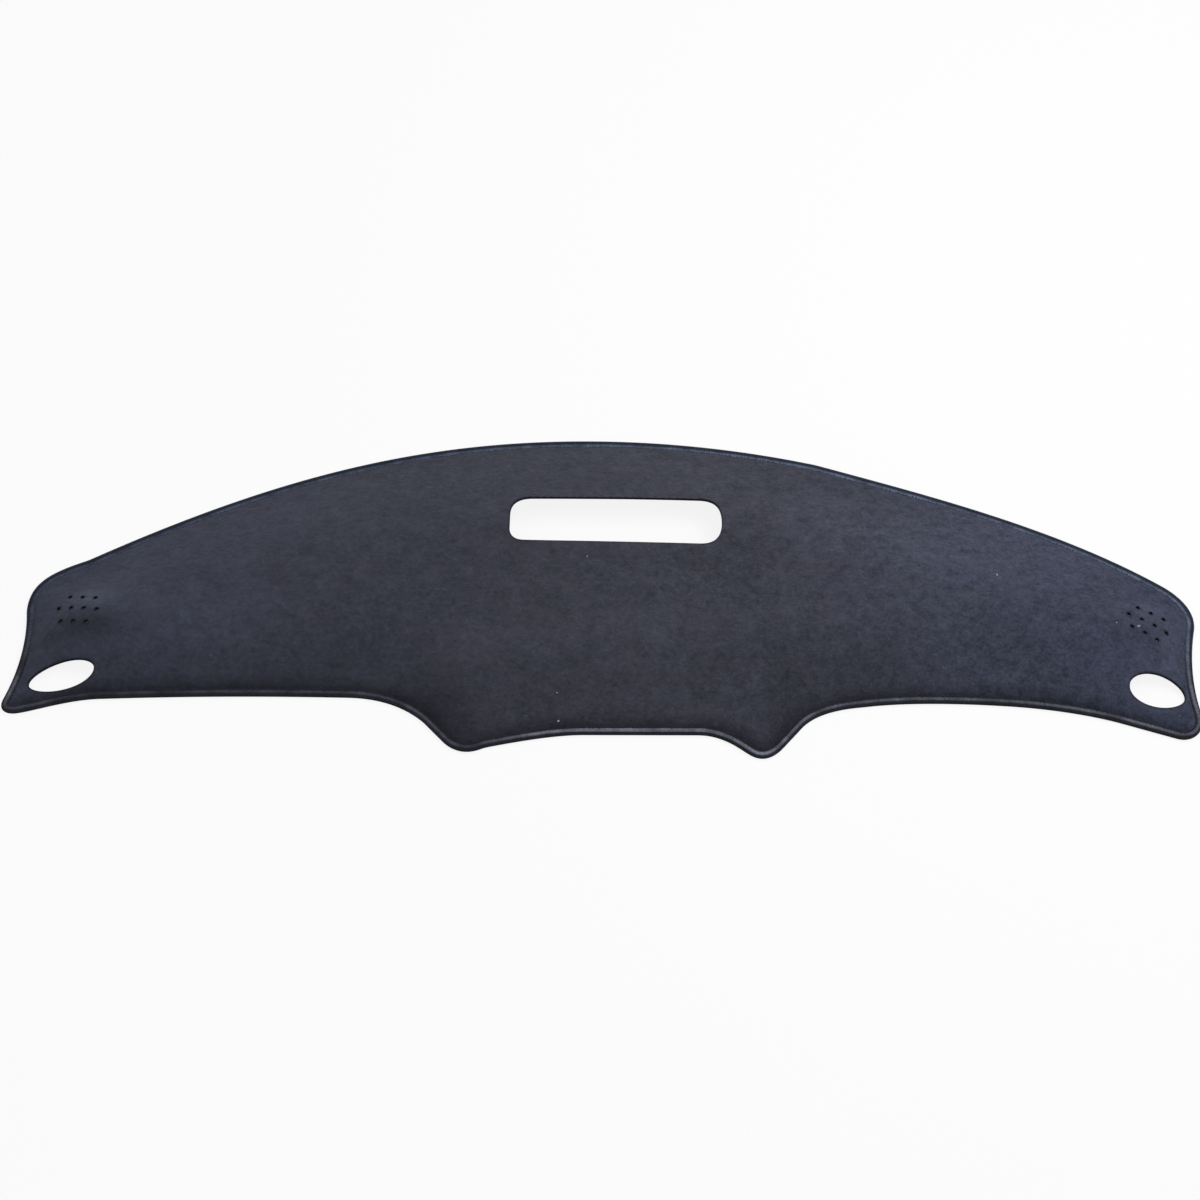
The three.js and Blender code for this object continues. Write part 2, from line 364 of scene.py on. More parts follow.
def slot_loop():
    """The vent slot's line, a little wider at its right end than at its left."""
    x = SLOT_LENGTH / 2
    left, right = (SLOT_WIDTH - SLOT_SPREAD / 2) / 2, (SLOT_WIDTH + SLOT_SPREAD / 2) / 2
    corner = SLOT_RIGHT_ROUND / 3
    curves = [
        [(-x, -left + SLOT_LEFT_FRONT_ROUND), (-x, -left), (-x + SLOT_LEFT_FRONT_ROUND, -left)],
        [(-x + SLOT_LEFT_FRONT_ROUND, -left), (x - SLOT_RIGHT_ROUND, -right)],
        [(x - SLOT_RIGHT_ROUND, -right), (x - corner, -right), (x, -right + corner), (x, 0)],
        [(x, 0), (x, right - corner), (x - corner, right), (x - SLOT_RIGHT_ROUND, right)],
        [(x - SLOT_RIGHT_ROUND, right), (-x + SLOT_LEFT_BACK_ROUND, left)],
        [(-x + SLOT_LEFT_BACK_ROUND, left), (-x, left), (-x, left - SLOT_LEFT_BACK_ROUND)],
        [(-x, left - SLOT_LEFT_BACK_ROUND), (-x, -left + SLOT_LEFT_FRONT_ROUND)],
    ]
    loop = np.vstack([bezier(curve, 90) for curve in curves])
    return turned(loop, SLOT_TILT, SLOT_AT)


def oval_loop(outlet):
    angle = np.linspace(0, 2 * math.pi, 360, endpoint=False)
    loop = np.stack([outlet["length"] / 2 * np.cos(angle), outlet["width"] / 2 * np.sin(angle)], axis=1)
    return turned(loop, outlet["tilt"], outlet["at"])


def hole_loops(holes):
    angle = np.linspace(0, 2 * math.pi, 96, endpoint=False)
    circle = HOLE_DIAMETER / 2 * np.stack([np.cos(angle), np.sin(angle)], axis=1)
    loops = []
    for row, count in enumerate(HOLE_ROWS):
        for i in range(count):
            place = np.array([[(i - (count - 1) / 2) * HOLE_PITCH, (1 - row) * HOLE_ROW_PITCH]])
            loops.append(circle + turned(place, holes["tilt"], holes["at"]))
    return loops


def inside(points, loop):
    """Which points lie inside a closed line."""
    result = np.zeros(len(points), dtype=bool)
    nexts = np.roll(loop, -1, axis=0)
    for (x0, y0), (x1, y1) in zip(loop, nexts):
        crosses = (y0 > points[:, 1]) != (y1 > points[:, 1])
        if not crosses.any():
            continue
        at = x0 + (points[:, 1] - y0) * (x1 - x0) / (y1 - y0)
        result ^= crosses & (points[:, 0] < at)
    return result


# The felt sheet

RIM_RINGS = (0.0020, 0.0040, 0.0060, 0.0078, 0.0088, 0.0096, 0.0106, 0.0122, 0.0145, 0.0180)
BIG_RINGS = (0.0012, 0.0034)
HOLE_RINGS = (0.0010,)
HOLE_ROOM = HOLE_RINGS[-1] + 0.0018
MOST_HOLE_POINTS = 30
CUT_REACH = 0.2


def opening_rings():
    """For each opening its cut line, and the rows of points that frame it."""
    big = [slot_loop(), oval_loop(LEFT_OUTLET), oval_loop(RIGHT_OUTLET)]
    small = hole_loops(LEFT_HOLES) + hole_loops(RIGHT_HOLES)
    cuts, rows = [], []
    sizes = ((big, RIM_STEP * 0.75, BIG_RINGS), (small, HOLE_DIAMETER / 5, HOLE_RINGS))
    for loops, step, rings in sizes:
        for loop in loops:
            cuts.append(evenly(inset_loop(loop, -CUT_ROUND), step, True))
            for ring in rings:
                rows.append(evenly(inset_loop(loop, -CUT_ROUND - ring), step + ring / 2, True))
    return cuts, rows


def grid_points(rim, cuts):
    """A grid of points offset by half a step each row, clear of the rim and the openings."""
    row_step = GRID_STEP * math.sqrt(3) / 2
    rows = []
    for k, y in enumerate(np.arange(-LOBE_REACH, BACK_REACH, row_step)):
        x = np.arange(-LEFT_REACH, RIGHT_REACH, GRID_STEP) + (k % 2) * GRID_STEP / 2
        rows.append(np.stack([x, np.full(len(x), y)], axis=1))
    points = np.vstack(rows)
    points = points[inside(points, rim)]
    points = points[nearest(points, rim) > RIM_RINGS[-1] + GRID_STEP * 0.6]
    for cut in cuts:
        small = len(cut) < MOST_HOLE_POINTS
        room = HOLE_ROOM if small else BIG_RINGS[-1] + GRID_STEP * 0.7
        near = np.abs(points - cut.mean(axis=0)).max(axis=1) < CUT_REACH
        clear = np.ones(len(points), dtype=bool)
        clear[near] = (nearest(points[near], cut) > room) & ~inside(points[near], cut)
        points = points[clear]
    return points


def flat_faces():
    """The sheet's plan, cut in triangles: its points, and faces as rows of three."""
    rim = inset_loop(RIM_LOOP, RIM_INSET + CUT_ROUND)
    cuts, framing = opening_rings()
    rings = [inset_loop(RIM_LOOP, ring) for ring in RIM_RINGS]
    loops = [rim, *cuts]
    edges = []
    start = 0
    for loop in loops:
        order = start + np.arange(len(loop))
        edges += list(zip(order.tolist(), np.roll(order, -1).tolist()))
        start += len(loop)
    points = np.vstack([*loops, *rings[1:], *framing, grid_points(rim, cuts)])
    verts, _, faces, *_ = delaunay_2d_cdt([Vector(p) for p in points], edges, [], 1, 1e-7)
    verts = np.array([tuple(v) for v in verts])
    faces = np.array([face for face in faces if len(face) == 3])
    centres = verts[faces].mean(axis=1)
    keep = np.ones(len(faces), dtype=bool)
    for cut in cuts:
        keep &= ~inside(centres, cut)
    faces = faces[keep]
    a, b, c = (verts[faces[:, k]] for k in range(3))
    turn = (b[:, 0] - a[:, 0]) * (c[:, 1] - a[:, 1]) - (b[:, 1] - a[:, 1]) * (c[:, 0] - a[:, 0])
    faces[turn < 0] = faces[turn < 0][:, ::-1]
    return verts, faces


def border_of(verts, faces):
    """The border's edges, each with the sheet on its left, and every border point's way out."""
    pairs = np.vstack([faces[:, [0, 1]], faces[:, [1, 2]], faces[:, [2, 0]]])
    known = {tuple(pair) for pair in pairs.tolist()}
    border = np.array([pair for pair in pairs.tolist() if (pair[1], pair[0]) not in known])
    along = verts[border[:, 1]] - verts[border[:, 0]]
    normal = np.stack([along[:, 1], -along[:, 0]], axis=1)
    normal /= np.linalg.norm(normal, axis=1)[:, None]
    out = np.zeros_like(verts)
    np.add.at(out, border[:, 0], normal)
    np.add.at(out, border[:, 1], normal)
    length = np.linalg.norm(out, axis=1)
    out[length > 0] /= length[length > 0][:, None]
    return border, out


def felt_sheet():
    """The sheet as one closed mesh: top, underside and rounded walls round its rim and openings. Gives
    its flat area too."""
    verts, faces = flat_faces()
    border, out = border_of(verts, faces)
    inset = nearest(verts, OUTLINE)
    low = underside_at(verts) + soft_waves(verts, inset)
    top = low + SHEET_THICKNESS - groove_at(inset)
    count = len(verts)

    ids = np.unique(border)
    row_of = np.full(count, -1)
    row_of[ids] = np.arange(len(ids))
    half = CUT_ROUND * math.sqrt(0.5)
    wall_rows = [
        (half, top[ids] - CUT_ROUND + half),
        (CUT_ROUND, top[ids] - CUT_ROUND),
        (CUT_ROUND, low[ids] + CUT_ROUND),
        (half, low[ids] + CUT_ROUND - half),
    ]
    parts = [np.column_stack([verts, top]), np.column_stack([verts, low])]
    for distance, height in wall_rows:
        parts.append(np.column_stack([verts[ids] + out[ids] * distance, height]))
    points = np.vstack(parts)

    walls = [2 * count + k * len(ids) + np.arange(len(ids)) for k in range(len(wall_rows))]
    bands = [ids, *walls, ids + count]
    a, b = row_of[border[:, 0]], row_of[border[:, 1]]
    polygons = faces.tolist() + (faces[:, ::-1] + count).tolist()
    slots = [0] * len(polygons)
    cut = (inset[border[:, 0]] > FLANGE_WIDTH).astype(int)
    for k, (upper, lower) in enumerate(zip(bands, bands[1:])):
        polygons += np.column_stack([lower[a], lower[b], upper[b], upper[a]]).tolist()
        slots += (cut * min(k, 1)).tolist()

    mesh = bpy.data.meshes.new("felt_sheet")
    mesh.from_pydata(points.tolist(), [], polygons)
    mesh.polygons.foreach_set("material_index", slots)
    mesh.update()
    # Distances from the front side and from the cuts, which the felt reads to place its painted shade
    front_line = evenly(run_points(RUNS[0]), RIM_STEP, False)
    cuts = [slot_loop()[::4], oval_loop(LEFT_OUTLET)[::4], oval_loop(RIGHT_OUTLET)[::4]]
    cuts = np.vstack([*cuts, *hole_loops(LEFT_HOLES), *hole_loops(RIGHT_HOLES)])
    for name, gap in (("front_gap", nearest(verts, front_line)), ("cut_gap", nearest(verts, cuts))):
        mark_points(mesh, name, np.concatenate([gap, gap, *[gap[ids]] * len(wall_rows)]))
    corners = verts[faces]
    ab = corners[:, 1] - corners[:, 0]
    ac = corners[:, 2] - corners[:, 0]
    flat_area = float(np.abs(ab[:, 0] * ac[:, 1] - ab[:, 1] * ac[:, 0]).sum() / 2)
    return link("felt_sheet", mesh), flat_area


# The sewn edging


def rim_curve(name, loop):
    """A closed flat curve along a loop, for pieces that follow the rim."""
    data = bpy.data.curves.new(name, "CURVE")
    data.dimensions = "2D"
    spline = data.splines.new("POLY")
    spline.points.add(len(loop) - 1)
    for point, (x, y) in zip(spline.points, loop):
        point.co = (x, y, 0.0, 1.0)
    spline.use_cyclic_u = True
    return link(name, data)


def loop_length(loop):
    return float(np.linalg.norm(np.roll(loop, -1, axis=0) - loop, axis=1).sum())


def path_tube(name, points, radius, sides_level):
    """A short tube along a list of points, made from a bevelled curve."""
    data = bpy.data.curves.new(name, "CURVE")
    data.dimensions = "3D"
    data.bevel_depth = radius
    data.bevel_resolution = sides_level
    data.use_fill_caps = True
    spline = data.splines.new("POLY")
    spline.points.add(len(points) - 1)
    for point, place in zip(spline.points, points):
        point.co = (*place, 1.0)
    tube = link(name, data)
    select_only(tube)
    bpy.ops.object.convert(target="MESH")
    return bpy.context.view_layer.objects.active


def repeat_along(piece, curve, length, pitch, vary):
    """Repeats a piece in a row, varies its copies a little, marks how far in from the rim its points
    lie, and bends the row along the curve."""
    count = round(length / pitch)
    own = len(piece.data.vertices)
    row = piece.modifiers.new("row", "ARRAY")
    row.fit_type = "FIXED_COUNT"
    row.count = count
    row.use_relative_offset = False
    row.use_constant_offset = True
    row.constant_offset_displace = (length / count, 0, 0)
    apply_modifiers(piece)
    points = mesh_points(piece.data)
    vary(points.reshape(count, own, 3))
    set_mesh_points(piece.data, points)
    mark_points(piece.data, "inset", -points[:, 1])
    bend = piece.modifiers.new("bend", "CURVE")
    bend.object = curve
    bend.deform_axis = "POS_X"
    apply_modifiers(piece)


WRAP_PITCH = 0.0021
WRAP_HALF_WIDTH = 0.00116
WRAP_HALF_THICKNESS = 0.00048
WRAP_LEAN = 0.0011
# How unevenly the wraps lie: their shift along the rim, their swell and their lift
WRAP_SHIFT = 0.00010
WRAP_SWELL = 0.05
WRAP_LIFT = 0.02
WRAP_SEED = 11


def edge_wraps(outline):
    """The yarn that wraps the rim: one stitch, repeated all round."""
    low = side = WRAP_HALF_THICKNESS
    high = EDGING_HEIGHT - WRAP_HALF_THICKNESS
    # Distance in from the rim, and height, from the groove over the top and back underneath
    section = [
        (STITCH_BITE + 0.0006, high - 0.0017),
        (STITCH_BITE - 0.0010, high - 0.0006),
        (STITCH_BITE * 0.60, high),
        (0.0026, high - 0.0004),
        (0.0011, high - 0.0016),
        (side + 0.0001, high - 0.0032),
        (side + 0.0001, low + 0.0016),
        (0.0017, low + 0.0001),
        (STITCH_BITE * 0.65, low),
        (STITCH_BITE, low + 0.0002),
    ]
    leans = np.linspace(0.5, -0.5, len(section)) * WRAP_LEAN
    stretch = WRAP_HALF_WIDTH / WRAP_HALF_THICKNESS
    path = [(lean / stretch, -inset, height) for lean, (inset, height) in zip(leans, section)]
    stitch = path_tube("edge_wraps", path, WRAP_HALF_THICKNESS, 1)
    set_mesh_points(stitch.data, mesh_points(stitch.data) * (stretch, 1, 1))
    turn_faces_out(stitch)

    draw = np.random.default_rng(WRAP_SEED)

    def vary(copies):
        count = len(copies)
        along = draw.normal(0, WRAP_SHIFT, count)
        swell = 1 + draw.normal(0, WRAP_SWELL, count)
        middle = EDGING_HEIGHT / 2
        copies[:, :, 0] += along[:, None]
        lift = 1 + draw.normal(0, WRAP_LIFT, count)[:, None]
        copies[:, :, 2] = middle + (copies[:, :, 2] - middle) * np.minimum(lift, 1.0)
        copies[:, :, 1] *= np.minimum(swell, 1 + WRAP_SWELL)[:, None]

    curve = rim_curve("rim_line", outline)
    repeat_along(stitch, curve, loop_length(outline), WRAP_PITCH, vary)
    bpy.data.objects.remove(curve)
    shade_smooth(stitch)
    return stitch


CORE_INSET = 0.00035
CORE_CREASE = math.radians(50)


def edge_core(outline):
    """The rolled rim inside the wraps, which closes the view between them."""
    inner = CORE_INSET
    top = EDGING_HEIGHT
    # Distance in from the rim, and height, round the core's section
    section = [
        (YARN_THICKNESS * 0.9, inner),
        (STITCH_BITE, inner),
        (STITCH_BITE, YARN_THICKNESS),
        (YARN_THICKNESS, YARN_THICKNESS),
        (YARN_THICKNESS, top - YARN_THICKNESS * 1.3),
        (STITCH_BITE, top - YARN_THICKNESS * 1.3),
        (STITCH_BITE - 0.0006, top - inner - 0.0012),
        (STITCH_BITE * 0.60, top - inner - 0.0002),
        (0.0028, top - inner - 0.0006),
        (0.0013, top - inner - 0.0018),
        (inner + 0.0003, top - inner - 0.0034),
        (inner + 0.0003, YARN_THICKNESS * 1.5),
    ]
    loop = evenly(outline, RIM_STEP, True)
    count = len(section)
    rows = [
        np.column_stack([inset_loop(loop, inset), np.full(len(loop), height)]) for inset, height in section
    ]
    points = np.stack(rows, axis=1).reshape(-1, 3)
    polygons = []
    for i in range(len(loop)):
        here, there = i * count, (i + 1) % len(loop) * count
        for k in range(count):
            up = (k + 1) % count
            polygons.append((here + k, here + up, there + up, there + k))
    mesh = bpy.data.meshes.new("edge_core")
    mesh.from_pydata(points.tolist(), [], polygons)
    mesh.update()
    core = link("edge_core", mesh)
    turn_faces_out(core)
    select_only(core)
    bpy.ops.object.shade_smooth_by_angle(angle=CORE_CREASE)
    return core


THREAD_PITCH = 0.0027
THREAD_RADIUS = 0.00028
THREAD_INSET = FLANGE_WIDTH - 0.0003
THREAD_DIP = 0.0002
THREAD_SHIFT = 0.00006
THREAD_SEED = 23


def needle_thread(outline):
    """The row of short needle stitches that lie in the groove beside the wraps."""
    seat = RIM_INSET + SHEET_THICKNESS - GROOVE_DEPTH * 0.75
    half = THREAD_PITCH * 0.44
    dip = THREAD_DIP
    path = [
        (-half, dip, seat - dip),
        (-half * 0.5, 0, seat + dip),
        (half * 0.5, 0, seat + dip),
        (half, -dip, seat - dip),
    ]
    stitch = path_tube("needle_thread", path, THREAD_RADIUS, 0)
    loop = inset_loop(outline, THREAD_INSET)
    draw = np.random.default_rng(THREAD_SEED)

    def vary(copies):
        copies[:, :, 1] += draw.normal(0, THREAD_SHIFT, len(copies))[:, None]

    curve = rim_curve("needle_line", loop)
    repeat_along(stitch, curve, loop_length(loop), THREAD_PITCH, vary)
    bpy.data.objects.remove(curve)
    shade_smooth(stitch)
    return stitch


# Materials


NODE_SPACING = (190, 60)


class Nodes:
    """Adds nodes to a tree, and joins them."""

    def __init__(self, tree):
        self.tree = tree
        self.column = 0

    def add(self, kind, **settings):
        node = self.tree.nodes.new(kind)
        node.location = (self.column * NODE_SPACING[0], -(self.column % 4) * NODE_SPACING[1])
        self.column += 1
        for key, value in settings.items():
            setattr(node, key, value)
        return node

    def join(self, source, target):
        self.tree.links.new(source, target)

    def math(self, operation, first, second=None):
        node = self.add("ShaderNodeMath", operation=operation)
        for socket, value in zip(node.inputs, (first, second)):
            if isinstance(value, (int, float)):
                socket.default_value = value
            elif value is not None:
                self.join(value, socket)
        return node.outputs[0]

    def blend(self, *terms):
        """A weighted sum: each term is a value and its weight."""
        total = None
        for value, weight in terms:
            part = self.math("MULTIPLY", value, weight)
            total = part if total is None else self.math("ADD", total, part)
        return total

    def mapped(self, value, low, high, to_low, to_high, curve="LINEAR"):
        node = self.add("ShaderNodeMapRange", interpolation_type=curve)
        self.join(value, node.inputs["Value"])
        limits = {"From Min": low, "From Max": high, "To Min": to_low, "To Max": to_high}
        for name, number in limits.items():
            node.inputs[name].default_value = number
        return node.outputs["Result"]

    def parts(self, vector):
        node = self.add("ShaderNodeSeparateXYZ")
        self.join(vector, node.inputs[0])
        return node.outputs

    def mix(self, share, first, second, blend="MIX"):
        node = self.add("ShaderNodeMix", data_type="RGBA", blend_type=blend)
        sockets = (node.inputs[0], node.inputs[6], node.inputs[7])
        for socket, value in zip(sockets, (share, first, second)):
            if isinstance(value, (int, float)):
                socket.default_value = value
            elif isinstance(value, tuple):
                socket.default_value = (*value, 1.0)
            else:
                self.join(value, socket)
        return node.outputs[2]

    def tinted(self, share, colour, tint):
        """A colour with a share of it multiplied by a tint."""
        return self.mix(share, colour, self.mix(1.0, colour, tint, "MULTIPLY"))

    def scaled(self, vector, share):
        node = self.add("ShaderNodeVectorMath", operation="SCALE")
        self.join(vector, node.inputs[0])
        self.join(share, node.inputs["Scale"])
        return node.outputs[0]

    def noise(self, vector, scale, detail, roughness=0.5):
        node = self.add("ShaderNodeTexNoise")
        self.join(vector, node.inputs["Vector"])
        node.inputs["Scale"].default_value = scale
        node.inputs["Detail"].default_value = detail
        node.inputs["Roughness"].default_value = roughness
        return node.outputs["Fac"]

    def bump(self, height, strength, distance):
        node = self.add("ShaderNodeBump")
        self.join(height, node.inputs["Height"])
        node.inputs["Strength"].default_value = strength
        node.inputs["Distance"].default_value = distance
        return node.outputs[0]

    def mixed_shaders(self, share, first, second):
        node = self.add("ShaderNodeMixShader")
        for socket, value in zip(node.inputs, (share, first, second)):
            self.join(value, socket)
        return node.outputs[0]


def new_group(name, inputs, outputs):
    """A node group with named sockets, each input with its usual value."""
    tree = bpy.data.node_groups.new(name, "ShaderNodeTree")
    for label, kind, value in inputs:
        socket = tree.interface.new_socket(label, in_out="INPUT", socket_type=kind)
        if value is not None:
            socket.default_value = value
    for label, kind in outputs:
        tree.interface.new_socket(label, in_out="OUTPUT", socket_type=kind)
    nodes = Nodes(tree)
    return tree, nodes, nodes.add("NodeGroupInput"), nodes.add("NodeGroupOutput")


FLEX_SCALE = 0.35
FLEX_REACH = 1.6
COARSE_SCALE = 0.27


def sized_place(nodes, source, size_name):
    """The place in a group's pattern, where one unit is one fibre or patch."""
    per_metre = nodes.math("DIVIDE", 1.0, source.outputs[size_name])
    along = nodes.math("DIVIDE", per_metre, source.outputs["Stretch"])
    scale = nodes.add("ShaderNodeCombineXYZ")
    for value, axis in zip((along, per_metre, per_metre), "XYZ"):
        nodes.join(value, scale.inputs[axis])
    placed = nodes.add("ShaderNodeVectorMath", operation="MULTIPLY")
    nodes.join(source.outputs["Vector"], placed.inputs[0])
    nodes.join(scale.outputs[0], placed.inputs[1])
    return placed.outputs[0]


def fibre_group():
    """Matted fibres: a fine fleck mask, and the height of the fibres. Fibre Size is in metres and
    Stretch is how much longer they lie along X than across."""
    tree, nodes, source, result = new_group(
        "matted_fibres",
        [
            ("Vector", "NodeSocketVector", None),
            ("Fibre Size", "NodeSocketFloat", 0.001),
            ("Stretch", "NodeSocketFloat", 2.0),
        ],
        [("Fleck", "NodeSocketFloat"), ("Height", "NodeSocketFloat")],
    )
    placed = sized_place(nodes, source, "Fibre Size")
    warp = nodes.add("ShaderNodeTexNoise")
    nodes.join(placed, warp.inputs["Vector"])
    warp.inputs["Scale"].default_value = FLEX_SCALE
    bent = nodes.add("ShaderNodeVectorMath", operation="MULTIPLY_ADD")
    nodes.join(warp.outputs["Color"], bent.inputs[0])
    bent.inputs[1].default_value = (FLEX_REACH, FLEX_REACH, FLEX_REACH)
    nodes.join(placed, bent.inputs[2])
    fine = nodes.noise(bent.outputs[0], 1.0, 3.0, 0.6)
    coarse = nodes.noise(bent.outputs[0], COARSE_SCALE, 2.0, 0.5)
    both = nodes.blend((fine, 0.6), (coarse, 0.4))
    nodes.join(nodes.mapped(both, 0.32, 0.68, 0.0, 1.0), result.inputs["Fleck"])
    nodes.join(both, result.inputs["Height"])
    return tree


def patch_group():
    """Slow changes of tone where a pile has been brushed one way or another. Patch Size is in metres
    and Stretch is how much longer the patches lie along X than across."""
    tree, nodes, source, result = new_group(
        "brushed_patches",
        [
            ("Vector", "NodeSocketVector", None),
            ("Patch Size", "NodeSocketFloat", 0.05),
            ("Stretch", "NodeSocketFloat", 2.0),
        ],
        [("Mask", "NodeSocketFloat")],
    )
    cloud = nodes.noise(sized_place(nodes, source, "Patch Size"), 1.0, 2.5, 0.55)
    nodes.join(nodes.mapped(cloud, 0.35, 0.65, 0.0, 1.0), result.inputs["Mask"])
    return tree


def placed_group(nodes, tree, vector, size, stretch):
    """One use of a group: the size of its fibres or patches in metres, and their stretch along X."""
    node = nodes.add("ShaderNodeGroup", node_tree=tree)
    nodes.join(vector, node.inputs["Vector"])
    node.inputs[1].default_value = size
    node.inputs["Stretch"].default_value = stretch
    return node.outputs


def new_material(name, constants):
    """A material with one Principled surface, whose named sockets take the constants given."""
    material = bpy.data.materials.new(name)
    material.use_nodes = True
    material.node_tree.nodes.clear()
    nodes = Nodes(material.node_tree)
    place = nodes.add("ShaderNodeTexCoord").outputs["Object"]
    surface = nodes.add("ShaderNodeBsdfPrincipled")
    output = nodes.add("ShaderNodeOutputMaterial")
    nodes.join(surface.outputs["BSDF"], output.inputs["Surface"])
    for socket, value in constants.items():
        surface.inputs[socket].default_value = value
    return material, nodes, place, surface


def finish_surface(nodes, surface, colour, roughness, normal):
    for socket, value in (("Base Color", colour), ("Roughness", roughness), ("Normal", normal)):
        nodes.join(value, surface.inputs[socket])


FELT_DARK = (0.0135, 0.0138, 0.0195)
FELT_LIGHT = (0.0640, 0.0680, 0.0940)
FELT_TIP = (0.135, 0.140, 0.165)
FELT_SURFACE = {
    "Specular IOR Level": 0.18,
    "Sheen Weight": 0.14,
    "Sheen Roughness": 0.55,
    "Sheen Tint": (0.72, 0.78, 0.95, 1.0),
}
# Each pattern in the felt: the size of its fibres or patches, and how much longer they lie along X
FINE = (0.0015, 1.15)
GRAIN = (0.0052, 1.2)
PEBBLE = (0.0032, 1.1)
CLUMPS = (0.013, 1.3)
BLOTCHES = (0.034, 1.6)
BROAD = (0.13, 1.8)
# How much each pattern counts in the tone, and in the height of the pile
FINE_TONE, GRAIN_TONE, CLUMPS_TONE, BROAD_TONE = 0.28, 0.36, 0.10, 0.16
TONE_LIFT = 0.05
FINE_HEIGHT, GRAIN_HEIGHT, CLUMPS_HEIGHT = 0.45, 1.0, 0.25
FELT_BUMP = (0.75, 0.0022)
# Tints: where along X each one sets in, how strong it gets, and its colour
END_TINT = ((0.10, 0.62, 0.0, 0.62), (0.92, 1.0, 1.18))
RIGHT_TINT = ((0.25, 0.65, 0.0, 0.9), (0.96, 1.04, 1.14))
PLUM_SHARE = 0.30
PLUM_TINT = (1.12, 0.96, 0.92)
TIP_RANGE = (0.80, 1.0, 0.0, 0.22)
FELT_ROUGHNESS = (0.98, 0.86)
# Painted light and shade: darker or lighter spots, each with its centre, its reach and its tone
PAINTED_LIGHT_AND_SHADE_SPOTS = [
    ((-0.205, -0.175), (0.105, 0.075), 0.58),
    ((0.215, -0.175), (0.060, 0.070), 0.62),
    ((-0.43, -0.13), (0.22, 0.055), 0.84),
    ((0.30, -0.125), (0.14, 0.05), 0.86),
    ((0.22, -0.10), (0.26, 0.08), 0.80),
    ((0.46, 0.07), (0.30, 0.12), 1.26),
    ((0.26, 0.09), (0.16, 0.09), 1.16),
    ((-0.46, -0.06), (0.14, 0.07), 1.14),
    ((0.625, -0.062), (0.060, 0.035), 0.78),
    ((0.655, -0.018), (0.050, 0.022), 1.14),
    ((-0.610, -0.077), (0.060, 0.023), 0.60),
    ((-0.650, -0.086), (0.038, 0.020), 0.80),
    ((-0.617, -0.039), (0.050, 0.026), 1.38),
]
# Painted shade beside the front seam and the cuts, and a pebbled grain whose contrast grows to the right as
# painted grazing light
PAINTED_SEAM_SHADE = (FLANGE_WIDTH, FLANGE_WIDTH + 0.017, 0.50, 1.0)
PAINTED_CUT_SHADE = (0.0, 0.0028, 0.28, 1.0)
PEBBLED_GRAIN_AND_GRAZING_LIGHT = (-0.30, 0.35, 0.0, 0.62)


FAR = 1000


def marked(nodes, name):
    return nodes.add("ShaderNodeAttribute", attribute_name=name).outputs["Fac"]


def soft_spot(nodes, place, centre, reach):
    """One in the middle of an oval spot, falling softly to nothing at its reach."""
    away = nodes.add("ShaderNodeMapping", vector_type="TEXTURE")
    nodes.join(place, away.inputs["Vector"])
    away.inputs["Location"].default_value = (*centre, 0)
    away.inputs["Scale"].default_value = (*reach, FAR)
    length = nodes.add("ShaderNodeVectorMath", operation="LENGTH")
    nodes.join(away.outputs[0], length.inputs[0])
    return nodes.mapped(length.outputs["Value"], 0, 1, 1, 0, "SMOOTHERSTEP")


